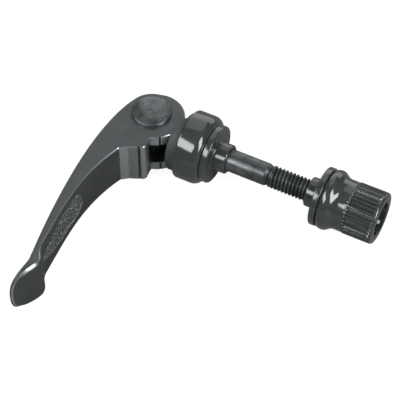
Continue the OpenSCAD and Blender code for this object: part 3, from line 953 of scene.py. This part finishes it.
def hex_cutter(x0, x1, across_flats):
    """A hexagonal prism along X, a corner up, as the insert has."""
    radius = across_flats / 2 / math.cos(math.radians(30))
    return prism_cutter(*([(x, radius * math.sin(math.radians(a)), -radius * math.cos(math.radians(a)))
                           for a in range(0, 360, 60)] for x in (x0, x1)))


class QR_OT_insert(Operator):
    """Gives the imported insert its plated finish."""
    bl_idname = "quick_release.insert"
    bl_label = "Nut insert"

    def execute(self, context):
        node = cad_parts["nut_insert"]
        material = turned_steel("zinc_plated_insert", linear("#a8a9a6"), (1.0, 1.0, 1.0), 0.35)
        node.data.materials.clear()
        node.data.materials.append(material)
        return {"FINISHED"}


# Where the lights aim. Each has a name, a share of the key's power, a width and height, and a place, in metres
LIGHT_AIM = Vector((0.01, -0.01, 0.0))
LIGHTS = (
    ("front_softbox", 0.98, 0.36, 0.155, (-0.184, -0.22, 0.276)),
    ("right_strip", 0.9, 0.125, 0.33, (0.28, -0.065, 0.21)),
    ("back_wall", 0.7, 0.80, 0.30, (-0.10, 0.50, 0.16)),
    ("top_fill", 0.16, 0.30, 0.30, (-0.14, 0.24, 0.36)),
)
# The photograph's camera: where it stands, its axes and its lens
CAMERA_AT = (0.11258, -0.22974, 0.30767)
CAMERA_RIGHT = Vector((0.89053, 0.45494, 0.0))
CAMERA_UP = Vector((-0.35827, 0.70131, 0.61630))
CAMERA_BACK = Vector((0.28037, -0.54883, 0.78752))
CAMERA_LENS = 139.06
# The floor: how far below the object, how wide, and how much of the backdrop it adds for the camera
FLOOR_GAP, FLOOR_R, FLOOR_GLOW = 0.00002, 900, 0.92


def soft_box(name, power, width, height, place):
    """A rectangular light in metres, aimed at the middle of the object."""
    data = bpy.data.lights.new(name, "AREA")
    data.energy = power
    data.shape = "RECTANGLE"
    data.size, data.size_y = width, height
    obj = bpy.data.objects.new(name, data)
    bpy.context.scene.collection.objects.link(obj)
    obj.location = place
    obj.rotation_mode = "QUATERNION"
    obj.rotation_quaternion = (LIGHT_AIM - Vector(place)).to_track_quat("-Z", "Y")


class QR_OT_stage(Operator):
    """Sets up the floor, the lights, the world and the camera."""
    bl_idname = "quick_release.stage"
    bl_label = "Studio"

    def execute(self, context):
        settings = context.scene.qr_stage
        scene = context.scene
        scene.view_settings.view_transform = "Standard"
        bm = bmesh.new()
        bmesh.ops.create_circle(bm, cap_ends=True, radius=FLOOR_R, segments=96)
        bmesh.ops.translate(bm, vec=(0, 0, (CAD_LOW.z - FLOOR_GAP) / MM), verts=bm.verts)
        floor = mesh_object("studio_floor", bm)
        if floor.data.polygons[0].normal.z < 0:
            floor.data.flip_normals()
        material, tree, _ = new_material("white_studio_floor")
        matt = add_node(tree, "ShaderNodeBsdfPrincipled", inputs={
            "Base Color": linear("#838383"), "Roughness": 0.9})
        seen = add_node(tree, "ShaderNodeLightPath").outputs["Is Camera Ray"]
        strength = add_node(tree, "ShaderNodeMath", {"operation": "MULTIPLY"}, {0: seen, 1: FLOOR_GLOW})
        glow = add_node(tree, "ShaderNodeEmission", inputs={"Color": settings.backdrop, "Strength": strength})
        both = add_node(tree, "ShaderNodeAddShader", inputs={0: matt, 1: glow})
        add_node(tree, "ShaderNodeOutputMaterial", inputs={"Surface": both})
        floor.data.materials.append(material)

        world = bpy.data.worlds.new("studio")
        scene.world = world
        world.use_nodes = True
        tree = world.node_tree
        tree.nodes.clear()
        seen = add_node(tree, "ShaderNodeLightPath").outputs["Is Camera Ray"]
        dim = add_node(tree, "ShaderNodeBackground", inputs={"Color": (0.55, 0.57, 0.6, 1), "Strength": 0.1})
        white = add_node(tree, "ShaderNodeBackground", inputs={"Color": (1, 1, 1, 1), "Strength": 1.0})
        either = add_node(tree, "ShaderNodeMixShader", inputs={0: seen, 1: dim, 2: white})
        add_node(tree, "ShaderNodeOutputWorld", inputs={"Surface": either})

        for name, share, width, height, place in LIGHTS:
            soft_box(name, settings.key_power * share, width, height, place)

        camera = bpy.data.cameras.new("photograph_view")
        camera.lens = CAMERA_LENS
        camera.sensor_width = 36.0
        camera.clip_start, camera.clip_end = 0.01, 5.0
        holder = bpy.data.objects.new("photograph_view", camera)
        scene.collection.objects.link(holder)
        turn = Matrix((CAMERA_RIGHT, CAMERA_UP, CAMERA_BACK)).transposed().to_4x4()
        holder.matrix_world = Matrix.Translation(CAMERA_AT) @ turn
        scene.camera = holder
        return {"FINISHED"}


class QR_PT_panel(Panel):
    """Lists the pieces and their sizes and colours."""
    bl_idname = "QR_PT_panel"
    bl_label = "Quick release bolt"
    bl_space_type = "VIEW_3D"
    bl_region_type = "UI"
    bl_category = "Quick release"

    def draw(self, context):
        layout = self.layout
        for operator in OPERATORS:
            layout.operator(operator.bl_idname)
        for name in SETTINGS:
            group = getattr(context.scene, name)
            box = layout.box()
            for key in group.__annotations__:
                box.prop(group, key)


OPERATORS = (QR_OT_lever, QR_OT_barrel, QR_OT_rod, QR_OT_seat, QR_OT_cup, QR_OT_washers, QR_OT_nut,
             QR_OT_insert, QR_OT_stage)
SETTINGS = {"qr_lever": QRLeverSettings, "qr_thread": QRThreadSettings, "qr_nut": QRNutSettings,
            "qr_stage": QRStageSettings}


def register():
    """Registers the classes and hangs the settings on the scene."""
    for group in SETTINGS.values():
        bpy.utils.register_class(group)
    for cls in OPERATORS + (QR_PT_panel,):
        bpy.utils.register_class(cls)
    for name, group in SETTINGS.items():
        setattr(bpy.types.Scene, name, PointerProperty(type=group))


def unregister():
    """Takes all of it away again."""
    for name in SETTINGS:
        delattr(bpy.types.Scene, name)
    for cls in reversed(OPERATORS + (QR_PT_panel,)):
        bpy.utils.unregister_class(cls)
    for group in SETTINGS.values():
        bpy.utils.unregister_class(group)


def main():
    """Builds every piece and the studio."""
    register()
    for operator in OPERATORS:
        name = operator.bl_idname.split(".")[1]
        getattr(bpy.ops.quick_release, name)()


if __name__ == "__main__":
    main()
